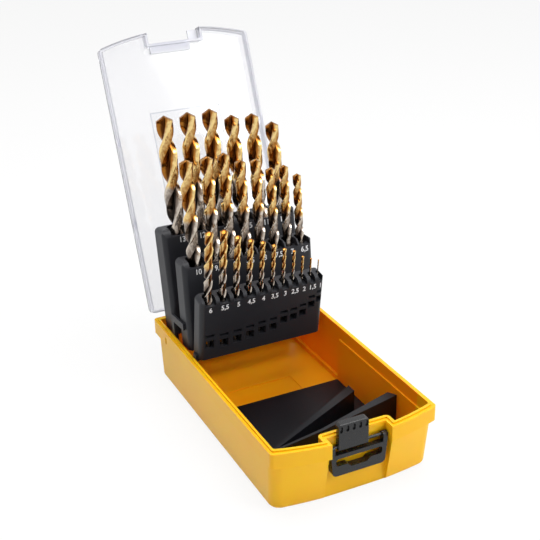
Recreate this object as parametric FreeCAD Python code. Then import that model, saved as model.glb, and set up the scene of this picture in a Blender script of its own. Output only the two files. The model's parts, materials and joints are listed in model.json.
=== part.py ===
import FreeCAD, Part
import math
import os

os.makedirs("parts", exist_ok=True)

# Drill bit case with a see-through lid and three racks that swing up as it opens.
# Units are millimetres. X runs to the right, Y to the back, Z up.
# The origin is the middle of the tub's underside.

# Tub
case_width = 118.4          # over the rim band
case_length = 198.0         # front corners to the back, without the bow
case_height = 45.0          # up to the seat of the lid
front_bow = 9.0             # how far the middle of the front stands forward
band_height = 10.5          # thicker band under the rim
band_step = 1.5             # how far the band stands out from the wall
wall = 2.2
floor_thickness = 2.6
corner_round = 3.0
body_round = 8.0            # upright corners of the body under the band
bottom_round = 3.0
side_lean = 1.1             # the body is this much narrower at the ground, at each side
front_lean = 2.6            # the front corners stand this much further back at the ground
ground_bow = 4.75           # how far the middle of the front stands forward at the ground
seat_width = 2.1            # outer step that the lid stands on
lip_height = 1.0            # inner lip behind the seat
ledge_step = 1.1            # the front part of the walls is thicker inside
ledge_end = 80.0            # where the ledge ends, from the back
arm_floor = 6.0             # the inside is wider from here up, for the arms of the racks
floor_field = (50.0, 62.0, 140.0)   # sunk field in the floor: width, start, end
field_depth = 0.5

# Pocket in the front wall for the latch and the handle
pocket_width = 42.6
pocket_more = 1.3           # the pocket is this much wider under the band, at each side
pocket_plane = 1.5          # back face of the pocket, from the front corners
notch_plane = 0.6           # front face of the rim inside the pocket
notch_bottom = 38.4         # the front face of the rim ends here, above the ground
notch_round = 1.0           # corners of the lip around the notch
latch_pin_place = (-1.2, 37.4)   # Y from the front corners, Z
latch_pin_diameter = 2.0
latch_pin_grip = 1.8        # how deep the pin sits in each side of the pocket

# Lid
lid_height = 9.0
lid_wall = 1.8
lid_fit = 0.3               # room between the lid and the lip
lid_top_round = 1.6
lid_open = 113.0            # degrees from shut, as it stands in the part
lid_field = (56.0, 45.0, 139.0)     # sunk label field: width, start, end
catch_shelf = 5.6           # top of the catch above the seat of the lid
catch_depth = 5.0
catch_room = 3.4            # the catch is this much wider than the latch, at each side
tongue_size = (7.6, 7.4, 1.2)       # small tongue in the notch: width, reach, thickness
tongue_gap = 0.4            # beside the tongue
vent_size = (6.0, 1.2)      # small slots in the side walls of the lid: length, height
vent_places = (69.0, 130.0)
vent_rise = 5.0             # middle of a slot above the seat

# Lid hinge
hinge_back = 1.6            # hinge line behind the back wall
hinge_rise = 1.6            # hinge line above the seat
hinge_place_share = 0.2872  # middle of a hinge, as a share of the case's width
hinge_eye_radius = 2.9
hinge_pin_diameter = 2.4
hinge_eye_width = 10.0      # middle eye, on the tub
hinge_lid_eye_width = 6.0   # the eyes at each side of it, on the lid
hinge_side_gap = 0.3
hinge_room = 0.35           # room around an eye in the other piece

# Racks, laid down as they are in the shut case.
# The distance along a rack is measured up from a line near its foot.
rack_middle_height = {"front": 11.0, "middle": 25.0, "back": 41.7}
rack_depth = {"front": 11.0, "middle": 14.5, "back": 17.0}
rack_foot = {"front": 1.0, "middle": -1.5, "back": -3.0}
rack_top = {"front": 50.0, "middle": 64.3, "back": 74.4}
rack_short = {"front": 12.4, "middle": 6.2, "back": 1.0}    # missing at the right end
rack_laid_line = {"front": 55.0, "middle": 38.0, "back": 32.5}   # from the case's back
raised_back_line = 19.8     # the same for the back rack when it is raised
raised_step = {"front": 50.2, "middle": 30.6, "back": 0.0}  # raised lines ahead of that one
rack_lean = {"front": -8.5, "middle": 5.0, "back": 10.0}
rack_round_share = 0.36     # big round on the top front edge, as a share of the depth
rack_corner_round = 3.5     # front edges of the ends and top corners
pocket_clearance = 0.15     # room between a drill and its hole, on the radius
mouth_depth = 5.0           # wide mouth at the top of each hole
mouth_room = 1.1            # how much wider than the drill, on the radius
window_share = 0.35         # how much of the drill's size is added to a window's width
window_least = 4.6
window_most = 6.6
window_slot = 2.2           # height of the small slot over each window
window_gap = 2.6
window_rise = 2.1           # window above the foot of the hole
window_drop = 41.0          # windows of the two taller racks, below the rack's top

# Arms and pins of the racks
arm_thickness = 1.6
arm_room = 0.35             # between an arm and the side of the tub
arm_gap = 0.35              # between an arm and the rack's left end
arm_eye_radius = 3.0
arm_half_width = 2.0
arm_shift = 1.0             # the front rack's arm hangs this far forward of its pin
middle_arm_reach = 17.0     # how far the middle rack's arm runs forward
rack_pin_diameter = 3.0
pin_clearance = 0.05        # running fit, on the radius
press_clearance = 0.02      # fixed pin in its bore, on the radius
wall_slot = (2.6, 5.4)      # open slot in the tub's side at the back rack's pins

# Latch, as it stands when it is shut
latch_width_share = 0.507   # of the pocket's width
latch_arm_gap = 2.9         # between the latch and the handle's left arm
latch_eye_radius = 1.9      # of the latch and of the handle
latch_plate = 3.2
latch_lid_gap = 0.5
latch_top = 8.6             # above the seat of the lid
latch_hook = 2.5            # how far the hook reaches past the plate
latch_hook_gap = 0.3
latch_round = 2.2           # top corners
latch_edge_round = 0.8
grip_count = 5
grip_size = (2.1, 4.4, 1.0) # grip hollows: width, height, depth
grip_pitch_share = 0.2083   # of the latch's width
grip_drop = 3.5             # middle of the hollows below the top

# Handle
handle_room = 0.6           # between the handle and the pocket, at each side
handle_taper = 2.1          # it is this much narrower at the bottom, at each side
handle_arm = 3.5
handle_front = 3.0          # front face of the handle ahead of the pin
handle_thickness = 4.0
handle_deep = 5.2           # its lower bar is thicker towards the back
handle_deep_height = 6.6
handle_crest = 1.7          # top of the arms above the pin
handle_arm_round = 1.4
handle_top_drop = 4.2       # cross plate below the pin
handle_low = 17.8           # lower edge of the handle above the ground
handle_round = 3.0
slot_margin = 4.2           # between the slot and each side
slot_height = 5.2
slot_round = 1.8
slot_rise = 9.9             # middle of the slot above the lower edge
lobe_width = (17.0, 11.0)   # hollow under the slot: width at its top and at its bottom
lobe_depth = 2.6

# Insert with the two stops for the drill tips
insert_start = 12.0
insert_end = 117.5
insert_gap = 0.3            # at each side
insert_plate = 1.4
# Each stop is a wall. Its faces run through places given along X, as shares of
# the insert's half width, and along Y from the front corners.
rear_stop_height = 19.6     # above the ground
rear_stop_shares = ((-0.943, 0.811), (-0.943, 0.811))
rear_stop = ((31.0, 75.6), (32.4, 83.6))
front_stop_height = 34.4
front_stop_shares = ((-0.943, -0.208, 1.0), (-0.943, -0.208, 0.934))
front_stop = ((16.0, 22.6, 37.0), (17.6, 24.9, 43.0))

# Drills: size, whole length, lower end along the rack
drills = {
    "back": {"13_0": (13.0, 151.0, 3.3), "12_5": (12.5, 151.0, 3.3),
             "12_0": (12.0, 151.0, 3.3), "11_5": (11.5, 142.0, 5.5),
             "11_0": (11.0, 142.0, 4.3), "10_5": (10.5, 133.0, 5.0)},
    "middle": {"10_0": (10.0, 133.0, 1.7), "9_5": (9.5, 125.0, 9.7),
               "9_0": (9.0, 125.0, 9.9), "8_5": (8.5, 117.0, 11.0),
               "8_0": (8.0, 117.0, 9.7), "7_5": (7.5, 109.0, 9.7),
               "7_0": (7.0, 109.0, 9.7), "6_5": (6.5, 101.0, 9.7)},
    "front": {"6_0": (6.0, 93.0, 8.0), "5_5": (5.5, 93.0, 7.0), "5_0": (5.0, 86.0, 7.5),
              "4_5": (4.5, 80.0, 8.7), "4_0": (4.0, 75.0, 10.0), "3_5": (3.5, 70.0, 10.6),
              "3_0": (3.0, 61.0, 14.6), "2_5": (2.5, 57.0, 15.2), "2_0": (2.0, 49.0, 17.0),
              "1_5": (1.5, 40.0, 22.6), "1_0": (1.0, 34.0, 25.9)},
}
# The first and the last drill of a rack stand this far from the rack's ends,
# and the others stand between them with equal gaps, but for a wider first gap.
first_drill = {"back": 14.4, "middle": 11.2, "front": 7.2}
last_drill = {"back": 8.8, "middle": 6.2, "front": 2.9}
first_gap_more = {"back": 0.0, "middle": 2.2, "front": 0.0}
point_angle = 118.0
chisel_share = 0.16         # blunt middle of the point, as a share of the size

overrun = 2.0               # how far a cutting body runs past the surface
straight_share = 0.9        # an edge runs along a direction when this much of it does

# Places that follow from the sizes above
front = -case_length / 2
back = case_length / 2
half = case_width / 2
band_bottom = case_height - band_height
low_half = half - band_step
ground_half = low_half - side_lean
inner_half = low_half - wall
insert_half = ground_half - wall - ledge_step - insert_gap
hinge_places = (-case_width * hinge_place_share, case_width * hinge_place_share)
hinge_line = (back + hinge_back, case_height + hinge_rise)
latch_line = (front + latch_pin_place[0], latch_pin_place[1])
handle_width = pocket_width - 2 * handle_room
latch_width = pocket_width * latch_width_share
latch_middle = handle_arm + latch_arm_gap + (latch_width - handle_width) / 2
grip_pitch = latch_width * grip_pitch_share
lid_notch_width = pocket_width - 2 * lid_fit
catch_width = latch_width + 2 * catch_room
rack_names = ("back", "middle", "front")
rack_left = inner_half - arm_room - arm_thickness - arm_gap
arm_lane = (-rack_left - arm_gap - arm_thickness, -rack_left - arm_gap)


def vec(x, y, z):
    return FreeCAD.Vector(x, y, z)


def box(x0, x1, y0, y1, z0, z1):
    return Part.makeBox(x1 - x0, y1 - y0, z1 - z0, vec(x0, y0, z0))


def rod(x0, x1, line, radius):
    # round bar along X through a point given as (Y, Z)
    return Part.makeCylinder(radius, x1 - x0, vec(x0, line[0], line[1]), vec(1, 0, 0))


def plan_face(half_width, start, end, bow, z):
    # rectangle in plan whose front side is an arc that stands forward
    a = vec(-half_width, start, z)
    b = vec(half_width, start, z)
    c = vec(half_width, end, z)
    d = vec(-half_width, end, z)
    arc = Part.Arc(a, vec(0, start - bow, z), b).toShape()
    sides = [Part.makeLine(b, c), Part.makeLine(c, d), Part.makeLine(d, a)]
    return Part.Face(Part.Wire([arc] + sides))


def plan_block(half_width, start, end, bow, z0, z1):
    return plan_face(half_width, start, end, bow, z0).extrude(vec(0, 0, z1 - z0))


def edges_along(shape, direction):
    picked = []
    for edge in shape.Edges:
        ends = [v.Point for v in edge.Vertexes]
        if len(ends) == 2 and abs((ends[1] - ends[0]).dot(direction)) > straight_share * edge.Length:
            picked.append(edge)
    return picked


def upright_edges(shape):
    return edges_along(shape, vec(0, 0, 1))


def rounded_box(x0, x1, y0, y1, z0, z1, radius):
    block = box(x0, x1, y0, y1, z0, z1)
    return block.makeFillet(radius, upright_edges(block))


def edges_at_height(shape, z, tolerance=0.001):
    picked = []
    for edge in shape.Edges:
        span = edge.BoundBox
        if abs(span.ZMin - z) < tolerance and abs(span.ZMax - z) < tolerance:
            picked.append(edge)
    return picked


def rounded_block(half_width, start, end, bow, z0, z1, radius):
    block = plan_block(half_width, start, end, bow, z0, z1)
    return block.makeFillet(radius, upright_edges(block))


def turned(shape, line, degrees):
    # turn about a line along X; a positive angle lifts the front towards the back
    shape = shape.copy()
    shape.rotate(vec(0, line[0], line[1]), vec(1, 0, 0), -degrees)
    return shape


def leaning_block(low, high, z0, z1, radius):
    # body between two plan outlines, each given as half width, start, end and bow
    outlines = []
    for plan, z, rise in ((low, z0, overrun), (high, z1, -overrun)):
        block = rounded_block(plan[0], plan[1], plan[2], plan[3], min(z, z + rise),
                              max(z, z + rise), radius)
        for face in block.Faces:
            if face.BoundBox.ZLength < press_clearance and \
                    abs(face.BoundBox.ZMin - z) < press_clearance:
                outlines.append(face.OuterWire)
    return Part.makeLoft(outlines, True, True)


def stop_wall(shares, places, height):
    # upright wall between a front and a back face
    rows = []
    for row_shares, row_places in zip(shares, places):
        rows.append([vec(share * insert_half, front + place, floor_thickness)
                     for share, place in zip(row_shares, row_places)])
    corners = rows[0] + rows[1][::-1]
    face = Part.Face(Part.makePolygon(corners + corners[:1]))
    return face.extrude(vec(0, 0, height - floor_thickness))


def front_plate(points, y0, y1):
    # plate given by points (X, Z) seen from the front
    corners = [vec(x, y0, z) for x, z in points]
    face = Part.Face(Part.makePolygon(corners + corners[:1]))
    return face.extrude(vec(0, y1 - y0, 0))


def swing(name):
    return 90.0 + rack_lean[name]


def rack_pivot(name):
    # the one point that turns the laid rack into the raised rack
    laid = (back - rack_laid_line[name], rack_middle_height[name])
    raised = (back - raised_back_line - raised_step[name], case_height)
    across = ((raised[0] - laid[0]) / 2, (raised[1] - laid[1]) / 2)
    spread = 1.0 / math.tan(math.radians(swing(name) / 2))
    y = laid[0] + across[0] + across[1] * spread
    z = laid[1] + across[1] - across[0] * spread
    return (y, z)


def rack_y(name, along):
    # place on the laid rack, measured from its foot line to its top
    return back - rack_laid_line[name] - along


def rack_span(name):
    return (-rack_left, rack_left - rack_short[name])


def drill_places(name):
    # name, X, size, length and lower end of each drill
    rows = drills[name]
    sizes = [row[0] for row in rows.values()]
    x0, x1 = rack_span(name)
    x = x0 + first_drill[name]
    last = x1 - last_drill[name]
    more = first_gap_more[name]
    taken = sum(sizes) - (sizes[0] + sizes[-1]) / 2 + more
    gap = (last - x - taken) / (len(sizes) - 1)
    places = []
    for label, row in rows.items():
        places.append((label, x) + row)
        x = x + row[0] / 2 + gap + more
        more = 0
        following = sizes[min(len(places), len(sizes) - 1)]
        x = x + following / 2
    return places


# Tub


def tub_outside():
    low = leaning_block((ground_half, front + band_step + front_lean,
                         back - band_step - side_lean, ground_bow),
                        (low_half, front + band_step, back - band_step, front_bow),
                        0, band_bottom, body_round)
    low = low.makeFillet(bottom_round, edges_at_height(low, 0))
    band = rounded_block(half, front, back, front_bow, band_bottom, case_height, corner_round)
    lip_half = half - seat_width
    lip = rounded_block(lip_half, front + seat_width, back - seat_width, front_bow,
                        band_bottom, case_height + lip_height, corner_round - seat_width / 2)
    return low.fuse(band).fuse(lip)


def tub_inside():
    top = case_height + lip_height + overrun
    start = front + band_step + wall
    end = back - band_step - wall
    narrow = leaning_block((ground_half - wall - ledge_step, start + front_lean,
                            end - side_lean, ground_bow),
                           (inner_half - ledge_step, start, end, front_bow),
                           floor_thickness, band_bottom, body_round - wall)
    wide = box(-inner_half, inner_half, back - ledge_end, end, arm_floor, top)
    rim = rounded_block(inner_half - ledge_step, start, end, front_bow,
                        band_bottom, top, wall)
    upper = rounded_block(inner_half, start, end, front_bow, band_bottom + wall, top, wall)
    return narrow.fuse(rim).fuse(wide).fuse(upper)


def pocket_body():
    # material kept behind the pocket and the notch
    top = case_height + lip_height + overrun
    side = pocket_width / 2 + pocket_more + wall
    low = box(-side, side, front - front_bow, front + pocket_plane + wall, 0, top)
    side = pocket_width / 2 + 2 * seat_width
    high = rounded_box(-side, side, front - front_bow, front + notch_plane + 2 * seat_width,
                       band_bottom, top, notch_round + seat_width)
    return low.fuse(high)


def pocket_cut():
    start = front - front_bow - overrun
    side = pocket_width / 2 + pocket_more
    low = box(-side, side, start, front + pocket_plane, -overrun, band_bottom)
    side = pocket_width / 2
    middle = box(-side, side, start, front + pocket_plane, 0, notch_bottom)
    high = box(-side, side, start, front + notch_plane, 0, case_height + lip_height + overrun)
    return low.fuse(middle).fuse(high)


def hinge_tub_eye(place):
    half_eye = hinge_eye_width / 2
    eye = rod(place - half_eye, place + half_eye, hinge_line, hinge_eye_radius)
    web = box(place - half_eye, place + half_eye, back - band_step, hinge_line[0],
              hinge_line[1] - 2 * hinge_eye_radius, case_height)
    foot = box(place - half_eye, place + half_eye, hinge_line[0],
               hinge_line[0] + hinge_eye_radius, hinge_line[1] - 2 * hinge_eye_radius,
               hinge_line[1])
    slope = rod(place - half_eye, place + half_eye,
                (hinge_line[0], hinge_line[1] - hinge_eye_radius / 2), hinge_eye_radius)
    return eye.fuse(web).fuse(foot.common(slope))


def lid_eye_spans(place):
    inner = hinge_eye_width / 2 + hinge_side_gap
    outer = inner + hinge_lid_eye_width
    return ((place - outer, place - inner), (place + inner, place + outer))


def make_tub():
    tub = tub_outside().cut(tub_inside().cut(pocket_body())).cut(pocket_cut())
    over_seat = case_height + lip_height + overrun
    behind = box(-half, half, back - 2 * seat_width, back + overrun, case_height, over_seat)
    beside = pocket_width / 2 + seat_width
    around = rounded_box(-beside, beside, front - front_bow - overrun,
                         front + notch_plane + seat_width, case_height, over_seat, notch_round)
    tub = tub.cut(behind).cut(around)
    width, start, end = floor_field
    tub = tub.cut(box(-width / 2, width / 2, front + start, front + end,
                      floor_thickness - field_depth, floor_thickness + overrun))
    for place in hinge_places:
        tub = tub.fuse(hinge_tub_eye(place))
        for span in lid_eye_spans(place):
            tub = tub.cut(rod(span[0] - hinge_side_gap, span[1] + hinge_side_gap, hinge_line,
                              hinge_eye_radius + hinge_room))
        tub = tub.cut(rod(place - hinge_eye_width, place + hinge_eye_width, hinge_line,
                          hinge_pin_diameter / 2 + press_clearance))
    grip = pocket_width / 2 + latch_pin_grip
    tub = tub.cut(rod(-grip, grip, latch_line, latch_pin_diameter / 2 + press_clearance))
    bore = rack_pin_diameter / 2 + press_clearance
    for name in rack_names:
        tub = tub.cut(rod(-low_half, 0, rack_pivot(name), bore))
    tub = tub.cut(rod(0, low_half, rack_pivot("back"), bore))
    y, z = rack_pivot("back")
    slot = box(-half - overrun, -low_half, y - wall_slot[0] / 2, y + wall_slot[0] / 2,
               z - wall_slot[1] / 2, z + wall_slot[1] / 2)
    return tub.cut(slot).removeSplitter()


# Lid


def lid_shell():
    top = case_height + lid_height
    outside = rounded_block(half, front, back, front_bow, case_height, top, corner_round)
    outside = outside.makeFillet(lid_top_round, edges_at_height(outside, top))
    inside = rounded_block(half - lid_wall, front + lid_wall, back - lid_wall, front_bow,
                           case_height - overrun, top - lid_wall, corner_round - lid_wall)
    side = lid_notch_width / 2 + lid_wall
    keep = box(-side, side, front - front_bow, front + notch_plane + lid_wall,
               case_height, top - lid_wall)
    shelf_half = catch_width / 2 + lid_wall
    keep_shelf = box(latch_middle - shelf_half, latch_middle + shelf_half, front,
                     front + notch_plane + catch_depth + lid_wall,
                     case_height + catch_shelf - lid_wall, top - lid_wall)
    return outside.cut(inside.cut(keep).cut(keep_shelf))


def lid_notch():
    side = lid_notch_width / 2
    top = case_height + lid_height
    notch = box(-side, side, front - front_bow - overrun, front + notch_plane,
                case_height - overrun, top + overrun)
    catch = box(latch_middle - catch_width / 2, latch_middle + catch_width / 2,
                front - overrun, front + notch_plane + catch_depth,
                case_height + catch_shelf, top + overrun)
    return notch.fuse(catch)


def lid_tongue():
    width, reach, thickness = tongue_size
    end = lid_notch_width / 2 - tongue_gap
    return box(end - width, end, front + notch_plane - reach,
               front + notch_plane + lid_wall, case_height + lid_height - thickness - lid_wall,
               case_height + lid_height - lid_wall)


def lid_eye(span):
    eye = rod(span[0], span[1], hinge_line, hinge_eye_radius)
    web = box(span[0], span[1], back - lid_wall, hinge_line[0],
              hinge_line[1], hinge_line[1] + hinge_eye_radius)
    return eye.fuse(web)


def make_lid():
    lid = lid_shell().cut(lid_notch()).fuse(lid_tongue())
    width, start, end = lid_field
    top = case_height + lid_height
    lid = lid.cut(box(-width / 2, width / 2, front + start, front + end,
                      top - field_depth, top + overrun))
    length, height = vent_size
    for place in vent_places:
        z = case_height + vent_rise
        lid = lid.cut(box(-half - overrun, half + overrun, front + place - length / 2,
                          front + place + length / 2, z - height / 2, z + height / 2))
    for place in hinge_places:
        half_eye = hinge_eye_width / 2 + hinge_side_gap
        lid = lid.cut(rod(place - half_eye, place + half_eye, hinge_line,
                          hinge_eye_radius + hinge_room))
        for span in lid_eye_spans(place):
            lid = lid.fuse(lid_eye(span))
        lid = lid.cut(rod(place - 2 * hinge_eye_width, place + 2 * hinge_eye_width, hinge_line,
                          hinge_pin_diameter / 2 + pin_clearance))
    return turned(lid.removeSplitter(), hinge_line, lid_open)


def make_hinge_pin(place):
    reach = hinge_eye_width / 2 + hinge_side_gap + hinge_lid_eye_width
    return rod(place - reach, place + reach, hinge_line, hinge_pin_diameter / 2)


# Racks


def rack_block(name):
    # three bodies with their own rounded edges, and the part that they share
    x0, x1 = rack_span(name)
    middle = rack_middle_height[name]
    half_depth = rack_depth[name] / 2
    y_top = rack_y(name, rack_top[name])
    y_foot = rack_y(name, rack_foot[name])
    block = box(x0, x1, y_top, y_foot, middle - half_depth, middle + half_depth)
    top_front = []
    for edge in edges_along(block, vec(1, 0, 0)):
        if edge.CenterOfMass.z < middle and edge.CenterOfMass.y < (y_top + y_foot) / 2:
            top_front.append(edge)
    end_fronts = []
    for edge in edges_along(block, vec(0, 1, 0)):
        if edge.CenterOfMass.z < middle:
            end_fronts.append(edge)
    top_corners = []
    for edge in upright_edges(block):
        if edge.CenterOfMass.y < (y_top + y_foot) / 2:
            top_corners.append(edge)
    side_view = block.makeFillet(rack_depth[name] * rack_round_share, top_front)
    top_view = block.makeFillet(rack_corner_round, end_fronts)
    front_view = block.makeFillet(rack_corner_round, top_corners)
    return side_view.common(top_view).common(front_view)


def window_width(size):
    return min(window_least + size * window_share, window_most)


def drill_cut(name, x, size, foot):
    middle = rack_middle_height[name]
    low = middle - rack_depth[name] / 2
    top = rack_top[name]
    hole = Part.makeCylinder(size / 2 + pocket_clearance, top - foot + overrun,
                             vec(x, rack_y(name, foot), middle), vec(0, -1, 0))
    mouth = Part.makeCylinder(size / 2 + mouth_room, mouth_depth + overrun,
                              vec(x, rack_y(name, top - mouth_depth), middle), vec(0, -1, 0))
    side = size / 2 + mouth_room
    notch = box(x - side, x + side, rack_y(name, top + overrun),
                rack_y(name, top - mouth_depth), low - overrun, middle)
    width = window_width(size)
    sill = foot + window_rise
    if name != "front":
        sill = top - window_drop
    window = box(x - width / 2, x + width / 2, rack_y(name, sill + width),
                 rack_y(name, sill), low - overrun, middle)
    slot_sill = sill + width + window_gap
    slot = box(x - width / 2, x + width / 2, rack_y(name, slot_sill + window_slot),
               rack_y(name, slot_sill), low - overrun, middle)
    return hole.fuse(mouth).fuse(notch).fuse(window).fuse(slot)


def front_rack_arm():
    # hangs from the pin, then runs forward under the rack's foot
    y, z = rack_pivot("front")
    middle = rack_middle_height["front"]
    reach = rack_y("front", rack_foot["front"] + arm_eye_radius)
    down = box(arm_lane[0], arm_lane[1], y - arm_half_width - arm_shift,
               y + arm_half_width - arm_shift, middle - arm_half_width, z)
    along = box(arm_lane[0], arm_lane[1], reach, y, middle - arm_half_width,
                middle + arm_half_width)
    return down.fuse(along)


def middle_rack_arm():
    # runs forward over the front rack's pin, then down to the rack's end
    y, z = rack_pivot("middle")
    rise = z + arm_eye_radius
    reach = y - middle_arm_reach
    over = box(arm_lane[0], arm_lane[1], reach, y, rise - arm_half_width, rise + arm_half_width)
    join = box(arm_lane[0], arm_lane[1], y - arm_eye_radius, y, z, rise + arm_half_width)
    down = box(arm_lane[0], arm_lane[1], reach - 2 * arm_half_width, reach + arm_half_width / 2,
               rack_middle_height["middle"] - arm_half_width, rise + arm_half_width)
    return join.fuse(over).fuse(down)


def rack_with_arm(name, rack):
    # one arm at the left end, joined to the rack by a short bridge
    pivot = rack_pivot(name)
    middle = rack_middle_height[name]
    if name == "front":
        arm = front_rack_arm()
        y0 = rack_y(name, rack_foot[name] + arm_eye_radius)
        y1 = rack_y(name, rack_foot[name]) + arm_half_width
    else:
        arm = middle_rack_arm()
        y0 = pivot[0] - middle_arm_reach - 2 * arm_half_width
        y1 = y0 + 2 * arm_half_width
    bridge = box(arm_lane[0], -rack_left + arm_thickness, y0, y1,
                 middle - arm_half_width, middle + arm_half_width)
    eye = rod(arm_lane[0], arm_lane[1], pivot, arm_eye_radius)
    return rack.fuse(arm).fuse(eye).fuse(bridge)


def rack_with_ears(name, rack):
    # an ear at each end, inside the rack's own length
    pivot = rack_pivot(name)
    x0, x1 = rack_span(name)
    for a, b in ((x0, x0 + 2 * arm_thickness), (x1 - 2 * arm_thickness, x1)):
        ear = box(a, b, rack_y(name, rack_foot[name] + arm_eye_radius), pivot[0],
                  pivot[1] - arm_eye_radius, pivot[1] + arm_eye_radius)
        rack = rack.fuse(ear).fuse(rod(a, b, pivot, arm_eye_radius))
    return rack


def make_rack(name):
    rack = rack_block(name)
    for label, x, size, length, foot in drill_places(name):
        rack = rack.cut(drill_cut(name, x, size, foot))
    if name == "back":
        rack = rack_with_ears(name, rack)
    else:
        rack = rack_with_arm(name, rack)
    pivot = rack_pivot(name)
    bore = rod(-half, half, pivot, rack_pin_diameter / 2 + pin_clearance)
    return turned(rack.cut(bore).removeSplitter(), pivot, swing(name))


def make_rack_pin(name, side):
    inner = -arm_lane[1]
    if name == "back":
        x0, x1 = rack_span(name)
        inner = max(side * x0, side * x1) - 2 * arm_thickness
    outer = low_half - press_clearance
    x0, x1 = sorted((side * inner, side * outer))
    return rod(x0, x1, rack_pivot(name), rack_pin_diameter / 2)


# Drills


def make_drill(name, x, size, length, foot):
    radius = size / 2
    chisel = radius * chisel_share
    point = (radius - chisel) / math.tan(math.radians(point_angle / 2))
    start = vec(x, rack_y(name, foot), rack_middle_height[name])
    body = Part.makeCylinder(radius, length - point, start, vec(0, -1, 0))
    tip_start = vec(x, rack_y(name, foot + length - point), rack_middle_height[name])
    tip = Part.makeCone(radius, chisel, point, tip_start, vec(0, -1, 0))
    return turned(body.fuse(tip).removeSplitter(), rack_pivot(name), swing(name))


# Latch, handle and their pin


def grip_hollow(x, plate_front, middle):
    width, height, depth = grip_size
    reach = (height - width) / 2
    hollow = box(x - width / 2, x + width / 2, plate_front - overrun, plate_front + depth,
                 middle - reach, middle + reach)
    for z in (middle - reach, middle + reach):
        end = Part.makeCylinder(width / 2, depth + overrun, vec(x, plate_front - overrun, z),
                                vec(0, 1, 0))
        hollow = hollow.fuse(end)
    return hollow


def make_latch():
    y, z = latch_line
    x0 = latch_middle - latch_width / 2
    x1 = latch_middle + latch_width / 2
    plate_back = front + notch_plane - latch_lid_gap
    plate_front = plate_back - latch_plate
    top = case_height + latch_top
    low = z - latch_eye_radius
    plate = box(x0, x1, plate_front, plate_back + latch_hook, low, top)
    corners = []
    for edge in edges_along(plate, vec(0, 1, 0)):
        if edge.CenterOfMass.z > top - overrun:
            corners.append(edge)
    plate = plate.makeFillet(latch_round, corners)
    lips = []
    for edge in edges_along(plate, vec(1, 0, 0)):
        if edge.CenterOfMass.z > top - overrun:
            lips.append(edge)
    plate = plate.makeFillet(latch_edge_round, lips)
    hook_under = case_height + catch_shelf + latch_hook_gap
    latch = plate.cut(box(x0, x1, plate_back, plate_back + latch_hook, low, hook_under))
    latch = latch.fuse(rod(x0, x1, latch_line, latch_eye_radius))
    for index in range(grip_count):
        x = latch_middle + (index - (grip_count - 1) / 2) * grip_pitch
        latch = latch.cut(grip_hollow(x, plate_front, top - grip_drop))
    latch = latch.cut(rod(x0, x1, latch_line, latch_pin_diameter / 2 + pin_clearance))
    return latch.removeSplitter()


def handle_slot(y0, y1, middle):
    end = handle_width / 2 - slot_margin
    low = middle - slot_height / 2
    slot = box(-end, end, y0, y1, low, middle + slot_height / 2)
    slot = slot.makeFillet(slot_round, edges_along(slot, vec(0, 1, 0)))
    wide, narrow = lobe_width
    lobe = front_plate(((-wide / 2, low), (-narrow / 2, low - lobe_depth),
                        (narrow / 2, low - lobe_depth), (wide / 2, low), (0, middle)), y0, y1)
    return slot.fuse(lobe)


def make_handle():
    y, z = latch_line
    side = handle_width / 2
    low_side = side - handle_taper
    inner = side - handle_arm
    y0 = y - handle_front
    y1 = y0 + handle_thickness
    top = z - handle_top_drop
    crest = z + handle_crest
    handle = front_plate(((-side, crest), (-low_side, handle_low), (low_side, handle_low),
                          (side, crest), (inner, crest), (inner, top), (-inner, top),
                          (-inner, crest)), y0, y0 + handle_deep)
    handle = handle.cut(box(-side, side, y1, y0 + handle_deep,
                            handle_low + handle_deep_height, crest))
    corners = []
    for edge in edges_along(handle, vec(0, 1, 0)):
        if edge.CenterOfMass.z < handle_low + overrun:
            corners.append(edge)
    handle = handle.makeFillet(handle_round, corners)
    crests = []
    for edge in edges_along(handle, vec(1, 0, 0)):
        if edge.CenterOfMass.z > crest - press_clearance:
            crests.append(edge)
    handle = handle.makeFillet(handle_arm_round, crests)
    for a, b in ((-side, -inner), (inner, side)):
        eye = rod(a + press_clearance, b - press_clearance, latch_line, latch_eye_radius)
        handle = handle.fuse(eye)
    handle = handle.cut(handle_slot(y0 - overrun, y1 + overrun, handle_low + slot_rise))
    handle = handle.cut(rod(-side, side, latch_line, latch_pin_diameter / 2 + pin_clearance))
    return handle.removeSplitter()


def make_latch_pin():
    reach = pocket_width / 2 + latch_pin_grip - press_clearance
    return rod(-reach, reach, latch_line, latch_pin_diameter / 2)


# Insert


def make_insert():
    plate = box(-insert_half, insert_half, front + insert_start, front + insert_end,
                floor_thickness, floor_thickness + insert_plate)
    rear = stop_wall(rear_stop_shares, rear_stop, rear_stop_height)
    ahead = stop_wall(front_stop_shares, front_stop, front_stop_height)
    return plate.fuse(rear).fuse(ahead).removeSplitter()


def export(name, shape):
    shape.exportStep("parts/" + name + ".step")


export("base_tub", make_tub())
export("lid", make_lid())
export("tip_stop_insert", make_insert())
export("latch", make_latch())
export("handle", make_handle())
export("latch_pin", make_latch_pin())
for label, place in zip(("left", "right"), hinge_places):
    export("hinge_pin_" + label, make_hinge_pin(place))
for rack_name in rack_names:
    export("rack_" + rack_name, make_rack(rack_name))
    export("rack_pin_" + rack_name + "_left", make_rack_pin(rack_name, -1))
    for label, x, size, length, foot in drill_places(rack_name):
        export("drill_" + label, make_drill(rack_name, x, size, length, foot))
export("rack_pin_back_right", make_rack_pin("back", 1))
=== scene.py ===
import bpy
import json
import math
from mathutils import Matrix, Vector

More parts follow.
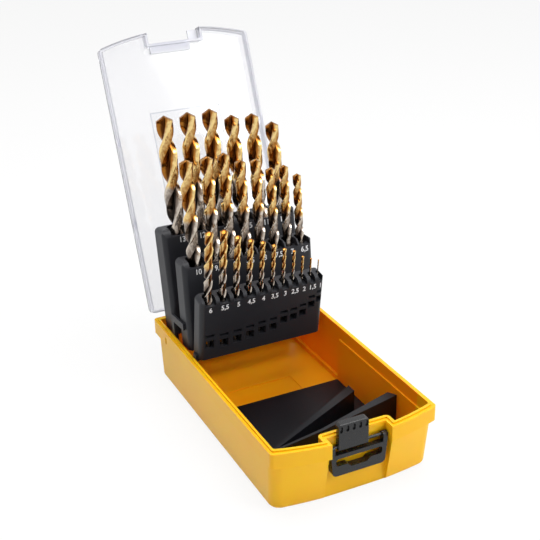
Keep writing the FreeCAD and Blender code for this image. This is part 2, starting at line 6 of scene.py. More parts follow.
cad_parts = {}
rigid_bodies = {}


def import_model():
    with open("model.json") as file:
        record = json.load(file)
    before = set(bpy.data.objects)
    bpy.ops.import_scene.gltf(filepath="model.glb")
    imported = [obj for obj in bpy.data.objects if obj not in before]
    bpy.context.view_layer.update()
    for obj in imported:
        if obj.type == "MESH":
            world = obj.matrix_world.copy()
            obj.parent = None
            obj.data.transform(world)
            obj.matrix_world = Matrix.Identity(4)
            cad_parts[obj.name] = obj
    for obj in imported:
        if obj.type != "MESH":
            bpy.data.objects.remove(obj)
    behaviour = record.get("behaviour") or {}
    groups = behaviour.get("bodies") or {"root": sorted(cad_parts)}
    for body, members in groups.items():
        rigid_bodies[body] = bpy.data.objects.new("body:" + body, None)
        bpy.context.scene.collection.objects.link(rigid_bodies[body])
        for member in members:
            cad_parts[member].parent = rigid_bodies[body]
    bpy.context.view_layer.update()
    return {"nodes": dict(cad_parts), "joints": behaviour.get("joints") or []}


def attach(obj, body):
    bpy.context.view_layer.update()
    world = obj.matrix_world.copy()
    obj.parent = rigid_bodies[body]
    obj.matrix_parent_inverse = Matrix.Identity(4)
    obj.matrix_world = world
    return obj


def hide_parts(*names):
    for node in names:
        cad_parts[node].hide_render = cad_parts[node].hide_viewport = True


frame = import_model()
nodes = frame["nodes"]
joints = {j["child"]: j for j in frame["joints"]}
mm = 0.001
sideways = Vector((1, 0, 0))    # the racks, the drills' rows and all hinges lie along it


# small helpers

def paint(hexValue):
    # an sRGB hex value as the linear colour that the shader takes
    channels = [int(hexValue[i:i + 2], 16) / 255 for i in (1, 3, 5)]
    linear = [c / 12.92 if c <= 0.04045 else ((c + 0.055) / 1.055) ** 2.4 for c in channels]
    return (*linear, 1.0)


def addNode(tree, kind, settings=None, links=None):
    # settings are the node's own, or an input's by name or number; links are input: (node, output)
    node = tree.nodes.new(kind)
    for key, value in (settings or {}).items():
        if isinstance(key, int) or key in node.inputs:
            node.inputs[key].default_value = value
        else:
            setattr(node, key, value)
    for key, (other, output) in (links or {}).items():
        tree.links.new(other.outputs[output], node.inputs[key])
    return node


def newMaterial(name):
    material = bpy.data.materials.new(name)
    material.use_nodes = True
    material.node_tree.nodes.clear()
    return material, material.node_tree


def dress(obj, material):
    obj.data.materials.clear()
    obj.data.materials.append(material)


def deselect():
    if bpy.context.object and bpy.context.object.mode != "OBJECT":
        bpy.ops.object.mode_set(mode="OBJECT")
    bpy.ops.object.select_all(action="DESELECT")


def pick(obj):
    deselect()
    obj.select_set(True)
    bpy.context.view_layer.objects.active = obj


def edit(obj, points):
    # edit mode with only these points selected
    pick(obj)
    bpy.ops.object.mode_set(mode="EDIT")
    bpy.ops.mesh.select_mode(type="VERT")
    bpy.ops.mesh.select_all(action="DESELECT")
    bpy.ops.object.mode_set(mode="OBJECT")
    for index in points:
        obj.data.vertices[index].select = True
    bpy.ops.object.mode_set(mode="EDIT")


def applyModifiers(obj):
    pick(obj)
    for modifier in list(obj.modifiers):
        bpy.ops.object.modifier_apply(modifier=modifier.name)


def applyPlace(obj):
    pick(obj)
    bpy.ops.object.transform_apply(location=True, rotation=True, scale=True)


def copyOf(obj, name):
    twin = obj.copy()
    twin.data = obj.data.copy()
    twin.name = twin.data.name = name
    bpy.context.scene.collection.objects.link(twin)
    return twin


def spanOf(obj, direction):
    # lowest and highest place of a mesh along a direction
    along = [v.co.dot(direction) for v in obj.data.vertices]
    return min(along), max(along)


# camera and light

cameraLook = {
    "place": (-0.2895, -0.5817, 0.4188),
    "azimuth": -25.7,
    "elevation": 25.2,
    "roll": -1.1,
    "focal": 1078.8,      # in pixels of the picture
    "picture": 540,
    "sensor": 36.0,
    "nearest": 0.01,
}


def addCamera(look):
    az, el, roll = (math.radians(look[k]) for k in ("azimuth", "elevation", "roll"))
    backward = Vector((math.sin(az) * math.cos(el), -math.cos(az) * math.cos(el), math.sin(el)))
    right = Vector((math.cos(az), math.sin(az), 0))
    up = backward.cross(right)
    right, up = (math.cos(roll) * right + math.sin(roll) * up,
                 math.cos(roll) * up - math.sin(roll) * right)
    camera = bpy.data.objects.new("photoCamera", bpy.data.cameras.new("photoCamera"))
    bpy.context.scene.collection.objects.link(camera)
    turn = Matrix((right, up, backward)).transposed().to_4x4()
    camera.matrix_world = Matrix.Translation(look["place"]) @ turn
    camera.data.sensor_width = look["sensor"]
    camera.data.lens = look["sensor"] * look["focal"] / look["picture"]
    camera.data.clip_start = look["nearest"]
    bpy.context.scene.camera = camera


lightLook = {
    "key": {"place": (0.75, -0.75, 0.75), "aim": (0, 0, 0.05), "size": 0.7, "power": 8.0},
    "fill": {"place": (-0.9, -0.5, 0.6), "aim": (0, 0, 0.08), "size": 0.9, "power": 0.5},
    "top": {"place": (0.1, 0.1, 1.1), "aim": (0, 0, 0.1), "size": 0.9, "power": 13.0},
    "worldLevel": 0.34,
}


def addLights(look):
    for name in ("key", "fill", "top"):
        values = look[name]
        lamp = bpy.data.objects.new(name + "Light", bpy.data.lights.new(name + "Light", "AREA"))
        bpy.context.scene.collection.objects.link(lamp)
        lamp.location = values["place"]
        aim = Vector(values["aim"]) - Vector(values["place"])
        lamp.rotation_euler = aim.to_track_quat("-Z", "Y").to_euler()
        lamp.data.size = values["size"]
        lamp.data.energy = values["power"]


def whiteToCamera(tree):
    # 1 for rays that show the background: straight, reflected in gloss or through clear plastic
    path = addNode(tree, "ShaderNodeLightPath")
    first = addNode(tree, "ShaderNodeMath", {"operation": "MAXIMUM"},
                    {0: (path, "Is Camera Ray"), 1: (path, "Is Glossy Ray")})
    return addNode(tree, "ShaderNodeMath", {"operation": "MAXIMUM"},
                   {0: (first, 0), 1: (path, "Is Transmission Ray")})


def addWorld(look):
    world = bpy.data.worlds.new("studio")
    bpy.context.scene.world = world
    world.use_nodes = True
    tree = world.node_tree
    tree.nodes.clear()
    seen = whiteToCamera(tree)
    white = paint("#FFFFFF")
    room = addNode(tree, "ShaderNodeBackground", {"Color": white, "Strength": look["worldLevel"]})
    paper = addNode(tree, "ShaderNodeBackground", {"Color": white, "Strength": 1.0})
    both = addNode(tree, "ShaderNodeMixShader", None, {0: (seen, 0), 1: (room, 0), 2: (paper, 0)})
    addNode(tree, "ShaderNodeOutputWorld", None, {"Surface": (both, 0)})


floorLook = {
    "size": 6.0,
    "below": 0.2,           # mm under the case, so that the two don't flicker
    "colour": "#F4F4F4",
    "whiteShare": 0.88,     # the rest takes the shadow
}


def addFloor(look):
    deselect()
    bpy.ops.mesh.primitive_plane_add(size=look["size"], location=(0, 0, -look["below"] * mm))
    floor = bpy.context.object
    floor.name = "studioFloor"
    material, tree = newMaterial("whitePaperFloor")
    seen = whiteToCamera(tree)
    share = addNode(tree, "ShaderNodeMath", {"operation": "MULTIPLY", 1: look["whiteShare"]},
                    {0: (seen, 0)})
    matt = addNode(tree, "ShaderNodeBsdfDiffuse", {"Color": paint(look["colour"])})
    glow = addNode(tree, "ShaderNodeEmission", {"Color": paint("#FFFFFF"), "Strength": 1.0})
    both = addNode(tree, "ShaderNodeMixShader", None, {0: (share, 0), 1: (matt, 0), 2: (glow, 0)})
    addNode(tree, "ShaderNodeOutputMaterial", None, {"Surface": (both, 0)})
    dress(floor, material)


addCamera(cameraLook)
addLights(lightLook)
addWorld(lightLook)
addFloor(floorLook)
bpy.context.scene.view_settings.view_transform = "Standard"
print("stage: camera, lights and floor")


# materials

skinLook = {
    "noiseRange": (0.3, 0.7),           # most values of a noise lie in it
    "driftRange": (0.35, 0.65),
    "roughSpread": 0.04,
    "glowDepth": 4.0,                   # how far light gets into the plastic, in mm
    "glowReach": (1.0, 0.32, 0.03),     # its red, green and blue, as shares of that
}


def fineSkin(tree, size, depth, detail=3.0):
    # bump of the fine spark-eroded skin that a mould leaves; size and depth in mm
    place = addNode(tree, "ShaderNodeTexCoord")
    noise = addNode(tree, "ShaderNodeTexNoise", {"Scale": 1 / (size * mm), "Detail": detail},
                    {"Vector": (place, "Object")})
    bump = addNode(tree, "ShaderNodeBump", {"Strength": 1.0, "Distance": depth * mm},
                   {"Height": (noise, 0)})
    return place, noise, bump


def mixColour(tree, factor, colourA, colourB):
    # a colour is a hex value or a (node, output)
    settings = {"data_type": "RGBA"}
    links = {0: factor}
    for socket, colour in ((6, colourA), (7, colourB)):
        if isinstance(colour, str):
            settings[socket] = paint(colour)
        else:
            links[socket] = colour
    return addNode(tree, "ShaderNodeMix", settings, links), 2


def spread(tree, value, fromMin, fromMax, toMin=0.0, toMax=1.0, eased=False):
    kind = "SMOOTHSTEP" if eased else "LINEAR"
    return addNode(tree, "ShaderNodeMapRange",
                   {"interpolation_type": kind, "From Min": fromMin, "From Max": fromMax,
                    "To Min": toMin, "To Max": toMax}, {"Value": value}), 0


def mottled(tree, place, colourA, colourB, size):
    # slow drift of the colour over the moulding
    cloud = addNode(tree, "ShaderNodeTexNoise", {"Scale": 1 / (size * mm), "Detail": 2.0},
                    {"Vector": (place, "Object")})
    return mixColour(tree, spread(tree, (cloud, 0), *skinLook["driftRange"]), colourA, colourB)


def insideOf(tree, place, box, edge=0.5):
    # 1 inside a box, 0 from its edge's width outside it; middle, half size and edge in mm
    middle, half = box
    shifted = addNode(tree, "ShaderNodeVectorMath",
                      {"operation": "SUBTRACT", 1: [c * mm for c in middle]},
                      {0: (place, "Object")})
    size = addNode(tree, "ShaderNodeVectorMath", {"operation": "ABSOLUTE"}, {0: (shifted, 0)})
    past = addNode(tree, "ShaderNodeVectorMath",
                   {"operation": "SUBTRACT", 1: [c * mm for c in half]}, {0: (size, 0)})
    axes = addNode(tree, "ShaderNodeSeparateXYZ", None, {0: (past, 0)})
    level = addNode(tree, "ShaderNodeMath", {"operation": "MAXIMUM"}, {0: (axes, 0), 1: (axes, 1)})
    furthest = addNode(tree, "ShaderNodeMath", {"operation": "MAXIMUM"},
                       {0: (level, 0), 1: (axes, 2)})
    return spread(tree, (furthest, 0), edge * mm, 0.0)


def mouldedPlastic(name, look):
    material, tree = newMaterial(name)
    place, noise, bump = fineSkin(tree, look["skinSize"], look["skinDepth"])
    colour = mottled(tree, place, look["colour"], look["shade"], look["driftSize"])
    # painted shade: inside a box round the cavity the colour turns a deeper orange
    if "inside" in look:
        cavityShade = insideOf(tree, place, look["insideBox"])
        colour = mixColour(tree, cavityShade, colour, look["inside"])
    rough = spread(tree, (noise, 0), *skinLook["noiseRange"],
                   look["rough"] - skinLook["roughSpread"], look["rough"] + skinLook["roughSpread"])
    shader = addNode(tree, "ShaderNodeBsdfPrincipled",
                     {"IOR": look["ior"], "Specular IOR Level": look["gloss"],
                      "Subsurface Weight": look.get("glow", 0.0),
                      "Subsurface Scale": skinLook["glowDepth"] * mm,
                      "Subsurface Radius": skinLook["glowReach"]},
                     {"Base Color": colour, "Roughness": rough, "Normal": (bump, 0)})
    addNode(tree, "ShaderNodeOutputMaterial", None, {"Surface": (shader, 0)})
    return material


# polypropylene of the tub, moulded with a fine skin: warm yellow; light that comes through the
# walls glows orange in them, and the cavity is painted a deeper orange as shade
tubLook = {"glow": 0.45, "inside": "#F09A08", "insideBox": ((0, 4.7, 25.0), (55.7, 86.7, 23.0)),
           "colour": "#ECB811", "shade": "#E9B20D", "rough": 0.36, "gloss": 0.28,
           "ior": 1.49, "skinSize": 0.9, "skinDepth": 0.010, "driftSize": 60.0}
# filled polypropylene of the racks: charcoal, its fine skin takes most of the shine
rackLook = {"colour": "#25262B", "shade": "#1F2025", "rough": 0.45, "gloss": 0.3, "ior": 1.49,
            "skinSize": 0.7, "skinDepth": 0.02, "driftSize": 40.0}
# black polypropylene of the latch and the handle, smoother than the racks
clipLook = {"colour": "#141517", "shade": "#0F1012", "rough": 0.27, "gloss": 0.5, "ior": 1.49,
            "skinSize": 0.6, "skinDepth": 0.012, "driftSize": 25.0}
# vacuum formed polystyrene of the insert: near black
insertLook = {"colour": "#101116", "shade": "#0C0D11", "rough": 0.4, "gloss": 0.22, "ior": 1.55,
              "skinSize": 1.2, "skinDepth": 0.02, "driftSize": 50.0}

tubPlastic = mouldedPlastic("mouldedYellowPolypropylene", tubLook)
rackPlastic = mouldedPlastic("mouldedCharcoalPolypropylene", rackLook)
clipPlastic = mouldedPlastic("mouldedBlackPolypropylene", clipLook)
insertPlastic = mouldedPlastic("formedBlackPolystyrene", insertLook)

lidLook = {
    "plate": "#F9F9FB", "wall": "#DCDDE7", "panel": "#F4F4F7", "line": "#D3D4DE",
    "rough": 0.07, "wallRough": 0.28, "ior": 1.46, "haze": 0.08,
    "skinSize": 3.0, "skinDepth": 0.01, "skinDetail": 1.0,
    "opened": 113.0,            # degrees, at rest
    "lidLength": 198.0, "plateThick": 1.8, "wallEdge": 1.2,
    "panelSize": (56.0, 94.0), "panelMiddle": 92.0, "panelEdge": 0.3, "lineWidth": 0.7,
}


def clearPlastic(name, look):
    # clear polypropylene: polished on the big plate; the walls are rougher and painted greyer as
    # shade, and the label panel is a little greyer with a grey line round it
    opened = math.radians(look["opened"])
    outward = Vector((0, math.sin(opened), math.cos(opened)))
    along = Vector((0, -math.cos(opened), math.sin(opened)))
    face = spanOf(nodes["lid"], outward)[1]
    end = spanOf(nodes["lid"], along)[1]
    material, tree = newMaterial(name)
    place, _, bump = fineSkin(tree, look["skinSize"], look["skinDepth"], look["skinDetail"])

    def distance(direction, offset):
        # how far a point lies along a direction, in mm
        dot = addNode(tree, "ShaderNodeVectorMath", {"operation": "DOT_PRODUCT", 1: direction},
                      {0: (place, "Object")})
        return addNode(tree, "ShaderNodeMath",
                       {"operation": "MULTIPLY_ADD", 1: 1 / mm, 2: -offset / mm},
                       {0: (dot, "Value")}), 0

    def beyond(value, middle, half):
        # distance outside a band
        shifted = addNode(tree, "ShaderNodeMath", {"operation": "SUBTRACT", 1: middle}, {0: value})
        size = addNode(tree, "ShaderNodeMath", {"operation": "ABSOLUTE"}, {0: (shifted, 0)})
        return addNode(tree, "ShaderNodeMath", {"operation": "SUBTRACT", 1: half},
                       {0: (size, 0)}), 0

    depth = distance(-outward, -face)
    # painted shade: from the plate's thickness on, the walls take a greyer colour
    wall = spread(tree, depth, look["plateThick"], look["plateThick"] + look["wallEdge"],
                  eased=True)
    wide, tall = look["panelSize"]
    x = beyond(distance(sideways, 0.0), 0.0, wide / 2)
    y = beyond(distance(along, end - look["lidLength"] * mm), look["panelMiddle"], tall / 2)
    rim = addNode(tree, "ShaderNodeMath", {"operation": "MAXIMUM"}, {0: x, 1: y})
    inside = spread(tree, (rim, 0), look["panelEdge"], -look["panelEdge"])
    fromLine = addNode(tree, "ShaderNodeMath", {"operation": "ABSOLUTE"}, {0: (rim, 0)})
    line = spread(tree, (fromLine, 0), look["lineWidth"], 0.0)
    colour = mixColour(tree, inside, look["plate"], look["panel"])
    colour = mixColour(tree, line, colour, look["line"])
    colour = mixColour(tree, wall, colour, look["wall"])
    rough = spread(tree, wall, 0.0, 1.0, look["rough"], look["wallRough"])
    shader = addNode(tree, "ShaderNodeBsdfPrincipled",
                     {"IOR": look["ior"], "Transmission Weight": 1 - look["haze"]},
                     {"Base Color": colour, "Roughness": rough, "Normal": (bump, 0)})
    addNode(tree, "ShaderNodeOutputMaterial", None, {"Surface": (shader, 0)})
    return material


lidPlastic = clearPlastic("clearPolypropylene", lidLook)

steelLook = {"colour": "#B9BABD", "rough": 0.28, "roughSpread": 0.06, "grain": 0.15}


def turnedSteel(name, look):
    # drawn steel wire of the pins: faint rings from straightening
    material, tree = newMaterial(name)
    place = addNode(tree, "ShaderNodeTexCoord")
    rings = addNode(tree, "ShaderNodeTexNoise", {"Scale": 1 / (look["grain"] * mm), "Detail": 2.0},
                    {"Vector": (place, "Object")})
    rough = spread(tree, (rings, 0), 0.0, 1.0,
                   look["rough"] - look["roughSpread"], look["rough"] + look["roughSpread"])
    shader = addNode(tree, "ShaderNodeBsdfPrincipled",
                     {"Base Color": paint(look["colour"]), "Metallic": 1.0}, {"Roughness": rough})
    addNode(tree, "ShaderNodeOutputMaterial", None, {"Surface": (shader, 0)})
    return material


pinSteel = turnedSteel("drawnSteelWire", steelLook)

drillLook = {
    # painted light: painted shade deep in the flute, on the land, painted highlight on the margin
    # and the flute's lip
    "gold": ("#4A260C", "#9B6426", "#EDCF8E"),
    "steel": ("#211D1A", "#6D6057", "#C8BDB0"),
    "deepRange": (0.05, 0.5), "paleRange": (0.55, 1.0),     # tones where the colours cross over
    "goldRough": 0.17, "steelRough": 0.2,
    "fadeWidth": 3.0,                                       # sizes in mm
    "stainSize": 2.5, "stainShare": 0.5,
    "grindSize": 0.5, "grindDepth": 0.01, "grindStrength": 0.6,
}


def coatedSteel(name, look):
    # ground high speed steel with a gold nitride coat on its front half; the flutes are painted
    # dark as shade and reflection, and the lips and ground edges are painted pale as highlight
    material, tree = newMaterial(name)
    along = addNode(tree, "ShaderNodeAttribute", {"attribute_name": "pastCoat"})
    tone = addNode(tree, "ShaderNodeAttribute", {"attribute_name": "tone"})
    place = addNode(tree, "ShaderNodeTexCoord")
    stain = addNode(tree, "ShaderNodeTexNoise",
                    {"Scale": 1 / (look["stainSize"] * mm), "Detail": 3.0},
                    {"Vector": (place, "Object")})
    ragged = addNode(tree, "ShaderNodeMath", {"operation": "MULTIPLY_ADD", 1: look["fadeWidth"]},
                     {0: (stain, 0), 2: (along, "Fac")})
    bare = spread(tree, (ragged, 0), 0.0, look["fadeWidth"])
    grind = addNode(tree, "ShaderNodeTexNoise",
                    {"noise_dimensions": "1D", "Scale": 1 / look["grindSize"], "Detail": 2.0},
                    {"W": (along, "Fac")})
    share = look["stainShare"]
    stained = addNode(tree, "ShaderNodeMath",
                      {"operation": "MULTIPLY_ADD", 1: share, 2: -share / 2}, {0: (stain, 0)})
    stainsAndPaintedLight = addNode(tree, "ShaderNodeMath", {"operation": "ADD"},
                     {0: (stained, 0), 1: (tone, "Fac")})
    low = spread(tree, (stainsAndPaintedLight, 0), *look["deepRange"], eased=True)
    high = spread(tree, (stainsAndPaintedLight, 0), *look["paleRange"], eased=True)
    both = []
    for deep, land, margin in (look["gold"], look["steel"]):
        both.append(mixColour(tree, high, mixColour(tree, low, deep, land), margin))
    colour = mixColour(tree, bare, *both)
    rough = spread(tree, bare, 0.0, 1.0, look["goldRough"], look["steelRough"])
    bump = addNode(tree, "ShaderNodeBump",
                   {"Strength": look["grindStrength"], "Distance": look["grindDepth"] * mm},
                   {"Height": (grind, 0)})
    shader = addNode(tree, "ShaderNodeBsdfPrincipled", {"Metallic": 1.0},
                     {"Base Color": colour, "Roughness": rough, "Normal": (bump, 0)})
    addNode(tree, "ShaderNodeOutputMaterial", None, {"Surface": (shader, 0)})
    return material


drillSteel = coatedSteel("nitrideCoatedDrillSteel", drillLook)

inkLook = {"colour": "#F2F3F5", "shade": "#D9DADD", "rough": 0.5, "skinSize": 0.5,
           "skinDepth": 0.01, "driftSize": 0.8}


def printInk(name, look):
    # pad printed ink, a little uneven where the plastic skin shows through
    material, tree = newMaterial(name)
    place, _, bump = fineSkin(tree, look["skinSize"], look["skinDepth"])
    colour = mottled(tree, place, look["colour"], look["shade"], look["driftSize"])
    shader = addNode(tree, "ShaderNodeBsdfPrincipled", {"Roughness": look["rough"]},
                     {"Base Color": colour, "Normal": (bump, 0)})
    addNode(tree, "ShaderNodeOutputMaterial", None, {"Surface": (shader, 0)})
    return material


whiteInk = printInk("whitePadPrint", inkLook)

ownMaterial = {"base_tub": tubPlastic, "lid": lidPlastic, "tip_stop_insert": insertPlastic,
               "latch": clipPlastic, "handle": clipPlastic, "latch_pin": clipPlastic}
for name, obj in nodes.items():
    if name in ownMaterial:
        dress(obj, ownMaterial[name])
    elif "pin" in name:
        dress(obj, pinSteel)
    elif name.startswith("rack_"):
        dress(obj, rackPlastic)
print("materials: done")


# drills

# lengths are shares of the drill's radius, unless a comment says otherwise
drillShape = {
    "sides": 48,                # points round the section
    "web": 0.22,                # half thickness of the web
    "landShare": 0.38,          # how much of each half turn is land
    "marginShare": 0.09,
    "relief": 0.93,             # radius behind the margin
    "fluteSkew": 0.8,           # below 1 the flute is deepest nearer to its land
    "fluteFullness": 0.7,       # below 1 the flute has a flatter bottom
    "lipPower": 6,              # how suddenly the flute rises to the next margin
    "helixAngle": 34.0,
    "pointAngle": 118.0,
    "turns": 8,
    "ringsPerTurn": 32,
    "startTurn": 120.0,         # degrees
    "crownLift": 0.02,          # step from the helix to the ground point
    "centreReach": 0.05,        # only the tip's middle point lies nearer to the axis
    "runOut": 1.6,              # where the flutes fade into the shank
    "shankOver": 1.0001,        # keeps the plain shank just outside the fading flutes
    "smoothAngle": 40.0,        # degrees
    "fluteLengths": {13: 101, 12.5: 101, 12: 101, 11.5: 94, 11: 94, 10.5: 87, 10: 87, 9.5: 81,
                     9: 81, 8.5: 75, 8: 75, 7.5: 69, 7: 69, 6.5: 63, 6: 57, 5.5: 57, 5: 52,
                     4.5: 47, 4: 43, 3.5: 39, 3: 33, 2.5: 30, 2: 24, 1.5: 18, 1: 12},   # mm
    "coatShare": 0.5,           # how much of the flute is coated
    # tones are painted light: 0 is the painted shade deep in a flute, 1 the painted highlight on a
    # ground edge
    "landTone": 0.9, "landDrop": 0.3,
    "fluteTone": 0.5, "darkBy": 0.22,
    "lipTone": 0.85, "lipRange": (0.55, 0.95),
    "pointContrast": 0.5, "pointTone": 0.3,
    "shankTone": 0.6,
}
# smaller sizes have a thicker web and wider lands for their diameter
middleShape = {**drillShape, "web": 0.3, "landShare": 0.48, "helixAngle": 35.0,
               "startTurn": 125.0, "marginShare": 0.07}
smallShape = {**drillShape, "web": 0.4, "landShare": 0.62, "helixAngle": 36.0,
              "startTurn": 150.0, "marginShare": 0.05}
shapeOfRack = {"rack_back": drillShape, "rack_middle": middleShape, "rack_front": smallShape}
seamShift = 1e-4                # share of half a turn: keeps a point at 0 from falling back to 1


def ease(low, high, value):
    share = min(1.0, max(0.0, (value - low) / (high - low)))
    return share * share * (3 - 2 * share)


def sectionAt(turn, shape):
    # radius share and painted light; turn goes from 0 to 1 over half a turn of the section
    land, relief = shape["landShare"], shape["relief"]
    if turn < shape["marginShare"]:
        return 1.0, 1.0
    if turn < land:
        return relief, shape["landTone"] - shape["landDrop"] * turn / land
    across = (turn - land) / (1 - land)
    dip = math.sin(math.pi * across ** shape["fluteSkew"]) ** shape["fluteFullness"]
    lip = across ** shape["lipPower"]
    radius = relief + (shape["web"] - relief) * dip + (1 - relief) * lip
    # painted shade deepens into the flute, and a painted highlight rises on its lip towards the
    # next margin
    tone = shape["fluteTone"] * (1 - ease(0.0, shape["darkBy"], across))
    return radius, tone + shape["lipTone"] * ease(*shape["lipRange"], across)


def pairsOf(obj, points, half):
    # points that lie opposite each other, by their number round half a turn
    pairs = {}
    for index in points:
        co = obj.data.vertices[index].co
        turn = (math.atan2(co.y, co.x) / math.pi + seamShift) % 1.0
        pairs.setdefault(round(turn * half) % half, []).append(index)
    return pairs.items()


def addLongDrill(shape):
    # a drill of radius 1, longer than any of the set, with its point at the top
    half = shape["sides"] // 2
    pitch = 2 * math.pi / math.tan(math.radians(shape["helixAngle"]))
    pointHeight = 1 / math.tan(math.radians(shape["pointAngle"] / 2))
    top = shape["turns"] * pitch
    lift = shape["crownLift"]
    length = top + lift + pointHeight
    deselect()
    bpy.ops.mesh.primitive_circle_add(vertices=shape["sides"], radius=1.0, location=(0, 0, 0))
    drill = bpy.context.object
    for number, pair in pairsOf(drill, range(shape["sides"]), half):
        share = sectionAt(number / half, shape)[0]
        if share < 1:
            edit(drill, pair)
            bpy.ops.transform.resize(value=(share, share, 1.0), center_override=(0, 0, 0))
    pick(drill)
    screw = drill.modifiers.new("helix", "SCREW")
    screw.angle = 2 * math.pi * shape["turns"]
    screw.screw_offset = top
    screw.steps = screw.render_steps = shape["turns"] * shape["ringsPerTurn"]
    screw.use_merge_vertices = False
    applyModifiers(drill)
    # the point: the top ring is drawn up to the cone, pair by pair, and closed at the middle
    edit(drill, [v.index for v in drill.data.vertices if v.co.z > top - lift])
    bpy.ops.mesh.extrude_region_move(TRANSFORM_OT_translate={"value": (0, 0, lift)})
    bpy.ops.object.mode_set(mode="OBJECT")
    crown = [v.index for v in drill.data.vertices if v.co.z > top + lift / 2]
    for number, pair in pairsOf(drill, crown, half):
        rise = pointHeight * (1 - sectionAt(number / half, shape)[0])
        if rise > 0:
            edit(drill, pair)
            bpy.ops.transform.translate(value=(0, 0, rise))
            # the operator counts its angle clockwise, seen from above
            bpy.ops.transform.rotate(value=-2 * math.pi * rise / pitch, orient_axis="Z",
                                     center_override=(0, 0, 0))
    edit(drill, crown)
    bpy.ops.mesh.edge_face_add()
    bpy.ops.mesh.poke()
    bpy.ops.object.mode_set(mode="OBJECT")
    middle = [v.index for v in drill.data.vertices
              if v.co.z > top and math.hypot(v.co.x, v.co.y) < shape["centreReach"]]
    rise = length - drill.data.vertices[middle[0]].co.z
    edit(drill, middle)
    bpy.ops.transform.translate(value=(0, 0, rise))
    bpy.ops.mesh.select_all(action="SELECT")
    bpy.ops.mesh.normals_make_consistent(inside=False)
    bpy.ops.object.mode_set(mode="OBJECT")
    # painted light round the helix: painted shade in the flutes, painted highlight on lips and
    # margins, flatter on the point
    paintedLightValues = drill.data.attributes.new("tone", "FLOAT", "POINT")
    for index, vertex in enumerate(drill.data.vertices):
        co = vertex.co
        turn = (math.atan2(co.y, co.x) - 2 * math.pi * co.z / pitch) / math.pi
        tone = sectionAt((turn + seamShift) % 1.0, shape)[1]
        if co.z > top + lift / 2:
            tone = shape["pointContrast"] * tone + shape["pointTone"]
        paintedLightValues.data[index].value = tone
    return drill, length


def axisOf(name):
    # foot, direction, length and radius of a drill, from its CAD node
    direction = Vector(joints[name]["axis"]).normalized()
    ahead = direction.cross(sideways)
    low, high = spanOf(nodes[name], direction)
    left, right = spanOf(nodes[name], sideways)
    near, far = spanOf(nodes[name], ahead)
    middle = sideways * (left + right) / 2 + ahead * (near + far) / 2
    return middle + direction * low, direction, high - low, (right - left) / 2


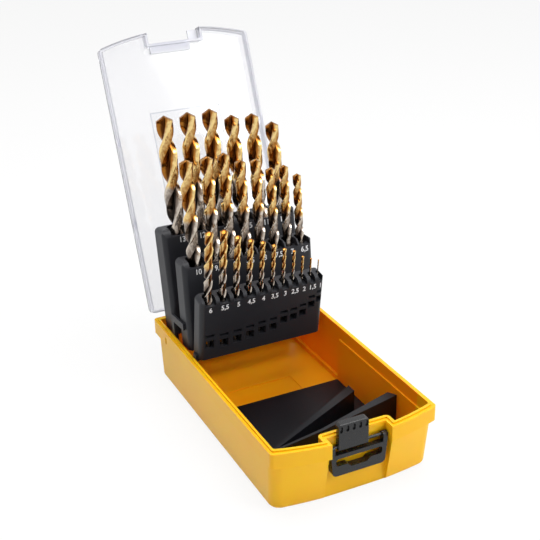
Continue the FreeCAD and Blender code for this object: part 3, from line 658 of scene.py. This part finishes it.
def addDrill(name, longDrill, longLength, shape):
    foot, direction, length, radius = axisOf(name)
    size = round(2 * radius / mm, 1)
    flute = shape["fluteLengths"][size] * mm
    drill = copyOf(longDrill, name + "_fluted")
    edit(drill, range(len(drill.data.vertices)))
    bpy.ops.transform.resize(value=(radius, radius, radius), center_override=(0, 0, 0))
    bpy.ops.transform.translate(value=(0, 0, length - longLength * radius))
    bpy.ops.mesh.bisect(plane_co=(0, 0, 0), plane_no=(0, 0, 1), clear_inner=True, use_fill=True)
    bpy.ops.object.mode_set(mode="OBJECT")
    # the plain shank: the flutes run out towards it
    shank = length - flute
    fluted = shank + shape["runOut"] * radius
    plain = [1 - ease(shank, fluted, v.co.z) for v in drill.data.vertices]
    group = drill.vertex_groups.new(name="shank")
    for index, weight in enumerate(plain):
        if weight > 0:
            group.add([index], weight, "REPLACE")
    cast = drill.modifiers.new("runOut", "CAST")
    cast.cast_type = "CYLINDER"
    cast.factor = 1.0
    cast.use_radius_as_size = True
    cast.radius = radius * shape["shankOver"]
    cast.use_z = False
    cast.vertex_group = group.name
    applyModifiers(drill)
    past = drill.data.attributes.new("pastCoat", "FLOAT", "POINT")
    paintedLightValues = drill.data.attributes["tone"]
    for index, vertex in enumerate(drill.data.vertices):
        past.data[index].value = (length - vertex.co.z - flute * shape["coatShare"]) / mm
        paintedLightValues.data[index].value += (shape["shankTone"] - paintedLightValues.data[index].value) * plain[index]
    turn = Matrix((sideways, direction.cross(sideways), direction)).transposed().to_4x4()
    spin = Matrix.Rotation(math.radians(shape["startTurn"]), 4, "Z")
    drill.matrix_world = Matrix.Translation(foot) @ turn @ spin
    applyPlace(drill)
    bpy.ops.object.shade_smooth_by_angle(angle=math.radians(shape["smoothAngle"]))
    dress(drill, drillSteel)
    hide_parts(name)
    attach(drill, name)


drillNames = sorted(n for n in nodes if n.startswith("drill_"))
for rack, shape in shapeOfRack.items():
    longDrill, longLength = addLongDrill(shape)
    for drillName in drillNames:
        if joints[drillName]["parent"] == rack:
            addDrill(drillName, longDrill, longLength, shape)
    bpy.data.objects.remove(longDrill)
print("drills:", len(drillNames))


# numbers on the racks

# lengths in mm
numberLook = {
    "depths": {"front": 11.0, "middle": 14.5, "back": 17.0},    # of the racks
    "heights": {"front": 5.2, "middle": 5.4, "back": 5.7},      # font size
    "narrow": 0.92,         # width of the letters, as a share of the font's
    "bold": 0.09,
    "drop": 8.3,            # middle of the print below the rack's top
    "proud": 0.02,
}


def addNumbers(row, look):
    rack = "rack_" + row
    parts = []
    for name in drillNames:
        if joints[name]["parent"] != rack:
            continue
        foot, direction = axisOf(name)[:2]
        out = sideways.cross(direction)
        top = spanOf(nodes[rack], direction)[1]
        rise = top - foot.dot(direction) - look["drop"] * mm
        deselect()
        bpy.ops.object.text_add()
        text = bpy.context.object
        text.data.body = name.removeprefix("drill_").replace("_0", "").replace("_", ",")
        text.data.align_x = "CENTER"
        text.data.align_y = "CENTER"
        text.data.size = look["heights"][row] * mm
        text.data.offset = look["bold"] * mm
        text.data.extrude = look["proud"] * mm
        bpy.ops.object.convert(target="MESH")
        text = bpy.context.object
        place = foot + direction * rise + out * (look["depths"][row] / 2 + look["proud"]) * mm
        turn = Matrix((sideways, direction, out)).transposed().to_4x4()
        narrow = Matrix.Scale(look["narrow"], 4, sideways)
        text.matrix_world = Matrix.Translation(place) @ turn @ narrow
        applyPlace(text)
        parts.append(text)
    deselect()
    for part in parts:
        part.select_set(True)
    bpy.context.view_layer.objects.active = parts[0]
    bpy.ops.object.join()
    numbers = bpy.context.object
    numbers.name = numbers.data.name = rack + "_numbers"
    dress(numbers, whiteInk)
    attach(numbers, rack)


for row in ("front", "middle", "back"):
    addNumbers(row, numberLook)
print("numbers: done")
